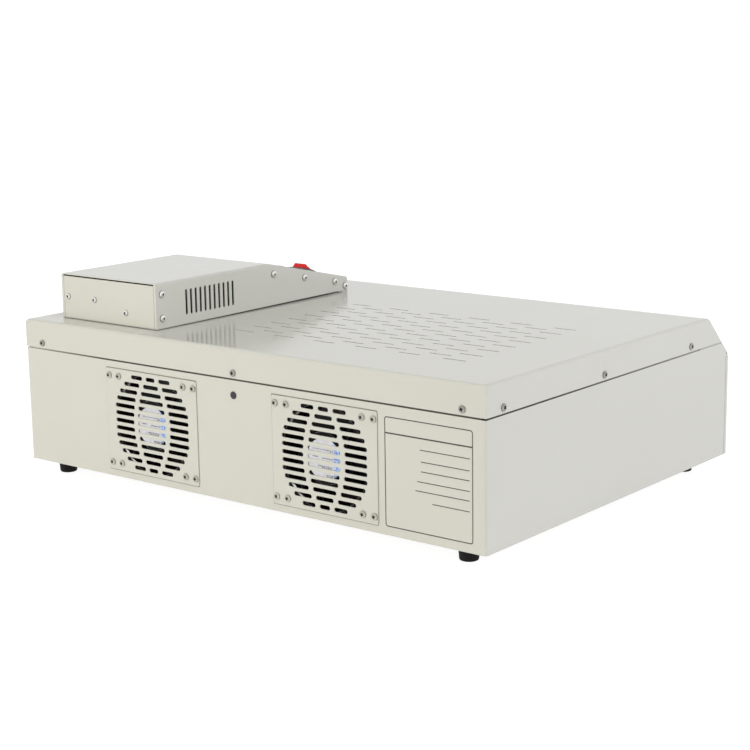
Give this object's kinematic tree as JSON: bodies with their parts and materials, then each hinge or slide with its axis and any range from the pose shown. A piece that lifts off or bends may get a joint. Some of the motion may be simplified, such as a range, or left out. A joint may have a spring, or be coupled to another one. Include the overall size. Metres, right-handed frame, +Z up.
{
  "type": "infrared reflow oven",
  "caption": "Low, wide bench oven for soldering circuit boards, with a front drawer, vented lid, wedge-shaped control box on top and rear exhaust fans.",
  "frame": {"origin": "below the middle of the whole object, on the plane that its feet stand on", "axes": "+X to the side of the control box, -Y the drawer side, +Y the fan side, +Z up"},
  "size_m": [0.6884, 0.549, 0.2458],
  "materials": {
    "case_paint": "gloss",
    "stainless": "brushed",
    "zinc": "plated",
    "fan_metal": "satin black on a casting",
    "black_plastic": "moulded",
    "plug_plastic": "moulded",
    "insulation": "mineral wool",
    "quartz": "clear",
    "filament": "wound",
    "ceramic": "glazed",
    "rubber": "matt",
    "silicone": "matt",
    "window_glass": "tinted",
    "display_lens": "clear",
    "circuit_board": "solder resist",
    "rocker_red": "translucent",
    "key_cap": "moulded"
  },
  "bodies": {
    "case": {"body_shell": "case_paint", "floor_pan": "case_paint", "front_frame": "case_paint", "lid": "case_paint", "lid_screws": "zinc", "grille_left": "case_paint", "grille_right": "case_paint", "grille_screws": "zinc", "fan_screws": "zinc", "fan_frame_left": "fan_metal", "fan_frame_right": "fan_metal", "rear_plug": "plug_plastic", "oven_chamber": "stainless", "insulation": "insulation", "reflector": "stainless", "heater_tubes": "quartz", "heater_filaments": "filament", "heater_caps": "ceramic", "heater_brackets": "stainless", "thermocouples": "stainless", "drawer_rails": "zinc", "terminal_block": "ceramic", "mains_inlet": "black_plastic", "foot_front_left": "rubber", "foot_front_right": "rubber", "foot_rear_left": "rubber", "foot_rear_right": "rubber", "cable_grommet": "rubber", "box_spacers": "zinc", "inner_screws": "zinc", "box_tray": "case_paint", "box_cover": "case_paint", "box_screws": "zinc", "control_panel": "case_paint", "display_window": "display_lens", "display_module": "circuit_board", "key_board": "circuit_board", "power_board": "circuit_board", "relays": "black_plastic", "rocker_housing": "black_plastic"},
    "drawer": {"drawer_front": "case_paint", "drawer_liner": "stainless", "window_glass": "window_glass", "window_frame": "stainless", "front_seal": "silicone", "drawer_handle": "black_plastic", "handle_screws": "zinc", "tray_sides": "stainless", "tray_ends": "stainless", "tray_ledge": "stainless", "tray_mesh": "stainless", "drawer_runners": "zinc"},
    "fan_left": {"impeller_left": "black_plastic"},
    "fan_right": {"impeller_right": "black_plastic"},
    "rocker_switch": {"rocker": "rocker_red"},
    "key_1_body": {"key_1": "key_cap"},
    "key_2_body": {"key_2": "key_cap"},
    "key_3_body": {"key_3": "key_cap"},
    "key_4_body": {"key_4": "key_cap"},
    "key_5_body": {"key_5": "key_cap"}
  },
  "joints": [
    {"name": "drawer_slide", "type": "slide", "parent": "case", "child": "drawer", "axis": [0, -1, 0], "range_m": [0, 0.36]},
    {"name": "fan_left_spin", "type": "hinge", "parent": "case", "child": "fan_left", "pos_m": [-0.132, 0.2522, 0.086], "axis": [0, 1, 0], "continuous": true},
    {"name": "fan_right_spin", "type": "hinge", "parent": "case", "child": "fan_right", "pos_m": [0.128, 0.2522, 0.086], "axis": [0, 1, 0], "continuous": true},
    {"name": "rocker_tilt", "type": "hinge", "parent": "case", "child": "rocker_switch", "pos_m": [0.172, -0.04701, 0.22521], "axis": [-1, 0, 0], "range_deg": [0, 48]},
    {"name": "key_1_press", "type": "slide", "parent": "case", "child": "key_1_body", "axis": [0, 0.2252, -0.9743], "range_m": [0, 0.0012], "stiffness_N_per_m": 500},
    {"name": "key_2_press", "type": "slide", "parent": "case", "child": "key_2_body", "axis": [0, 0.2252, -0.9743], "range_m": [0, 0.0012], "stiffness_N_per_m": 500},
    {"name": "key_3_press", "type": "slide", "parent": "case", "child": "key_3_body", "axis": [0, 0.2252, -0.9743], "range_m": [0, 0.0012], "stiffness_N_per_m": 500},
    {"name": "key_4_press", "type": "slide", "parent": "case", "child": "key_4_body", "axis": [0, 0.2252, -0.9743], "range_m": [0, 0.0012], "stiffness_N_per_m": 500},
    {"name": "key_5_press", "type": "slide", "parent": "case", "child": "key_5_body", "axis": [0, 0.2252, -0.9743], "range_m": [0, 0.0012], "stiffness_N_per_m": 500}
  ]
}
